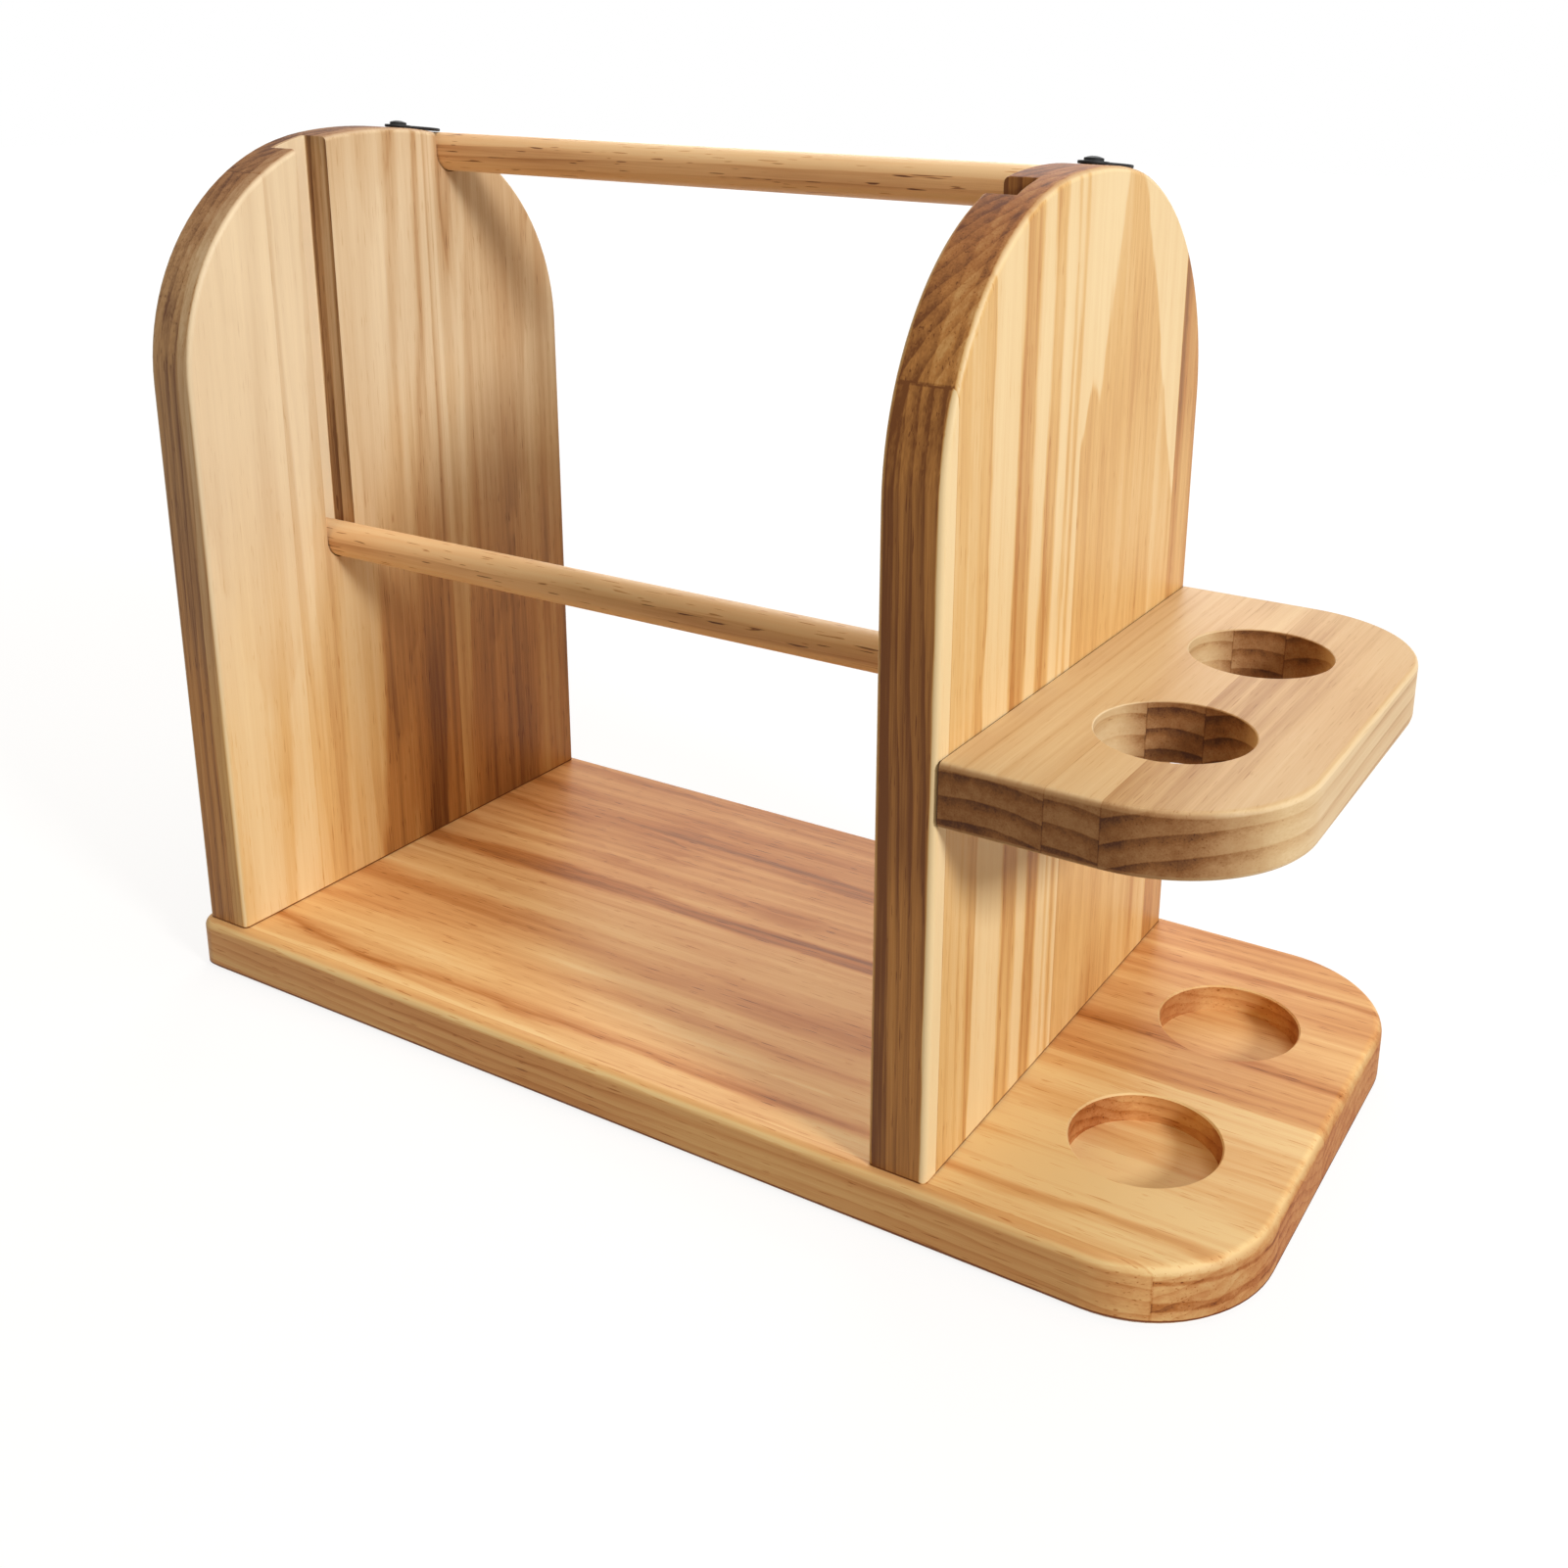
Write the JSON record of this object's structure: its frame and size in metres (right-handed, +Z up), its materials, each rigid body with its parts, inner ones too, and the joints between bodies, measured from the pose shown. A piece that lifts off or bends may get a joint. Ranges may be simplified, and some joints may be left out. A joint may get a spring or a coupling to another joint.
{
  "type": "thread rack",
  "caption": "Wooden table rack with arched end panels, two loose rods for spools held in blind grooves, swing latches, and a bored cup shelf over recesses in the base.",
  "frame": {"origin": "middle of the base board's underside, on the surface that the rack stands on", "axes": "+Z up; +X along the rods from the spool end towards the cup shelf; +Y from the front towards the back, where the upper rod and the latches are"},
  "size_m": [0.37, 0.178, 0.2811],
  "materials": {
    "pine": "oiled, satin",
    "beech": "oiled, satin",
    "black_metal": "matt black",
    "zinc_steel": "plated"
  },
  "bodies": {
    "frame": {"base_board": "pine", "left_panel": "pine", "right_panel": "pine", "cup_shelf": "pine", "latch_screws": "black_metal", "panel_screws": "zinc_steel", "shelf_dowels": "beech"},
    "upper_rod": {"upper_rod": "beech"},
    "lower_rod": {"lower_rod": "beech"},
    "left_latch": {"left_latch": "black_metal"},
    "right_latch": {"right_latch": "black_metal"}
  },
  "joints": [
    {"name": "upper_rod_roll", "type": "hinge", "parent": "frame", "child": "upper_rod", "pos_m": [-0.041, 0.0329, 0.27023], "axis": [1, 0, 0], "continuous": true},
    {"name": "lower_rod_lift", "type": "slide", "parent": "frame", "child": "lower_rod", "axis": [0, 0, 1], "range_m": [0, 0.17]},
    {"name": "left_latch_turn", "type": "hinge", "parent": "frame", "child": "left_latch", "pos_m": [-0.1712, 0.016, 0.27869], "axis": [0, 0.1013, 0.9949], "range_deg": [-180, 180]},
    {"name": "right_latch_turn", "type": "hinge", "parent": "frame", "child": "right_latch", "pos_m": [0.0892, 0.016, 0.27869], "axis": [0, 0.1013, 0.9949], "range_deg": [-180, 180]}
  ]
}
